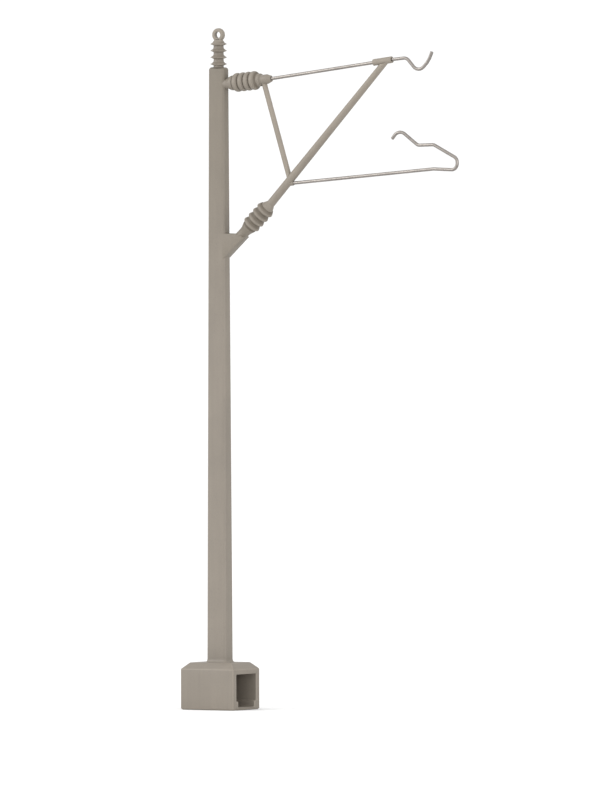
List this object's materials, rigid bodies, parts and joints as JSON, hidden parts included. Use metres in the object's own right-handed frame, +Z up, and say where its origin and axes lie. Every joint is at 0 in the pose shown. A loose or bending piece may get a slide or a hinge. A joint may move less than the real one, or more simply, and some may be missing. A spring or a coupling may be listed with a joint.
{
  "type": "model railway catenary mast",
  "caption": "Model overhead-line mast with a hollow clip-on foot, tapered post, ribbed insulators and a strutted cantilever carrying a messenger hook and a hooked steady arm.",
  "frame": {"origin": "centre of the foot's underside, on the axis of the post", "axes": "+Z up the post, +X from the post towards the track along the cantilever, +Y along the track"},
  "size_m": [0.0461, 0.0074, 0.0999],
  "materials": {
    "mast_plastic": "satin-matt warm grey moulded plastic",
    "wire_metal": "drawn wire, satin"
  },
  "bodies": {
    "mast": {"foot": "mast_plastic", "mast_post": "mast_plastic", "head_insulator": "mast_plastic", "head_eye": "mast_plastic", "upper_bracket": "mast_plastic", "upper_insulator": "mast_plastic", "upper_collar": "mast_plastic", "lower_bracket": "mast_plastic", "lower_insulator": "mast_plastic", "lower_collar": "mast_plastic", "cantilever_tube": "mast_plastic", "strut": "mast_plastic", "wire_sleeve": "mast_plastic"},
    "messenger": {"messenger_wire": "wire_metal"},
    "steady": {"steady_arm": "wire_metal"}
  },
  "joints": [
    {"name": "messenger_twist", "type": "hinge", "parent": "mast", "child": "messenger", "pos_m": [0.0079, 0, 0.09252], "axis": [0.9884, 0, 0.1516], "range_deg": [-45, 45]},
    {"name": "steady_twist", "type": "hinge", "parent": "mast", "child": "steady", "pos_m": [0.0113, 0, 0.07729], "axis": [0.9945, 0, 0.1045], "range_deg": [-45, 45]}
  ]
}
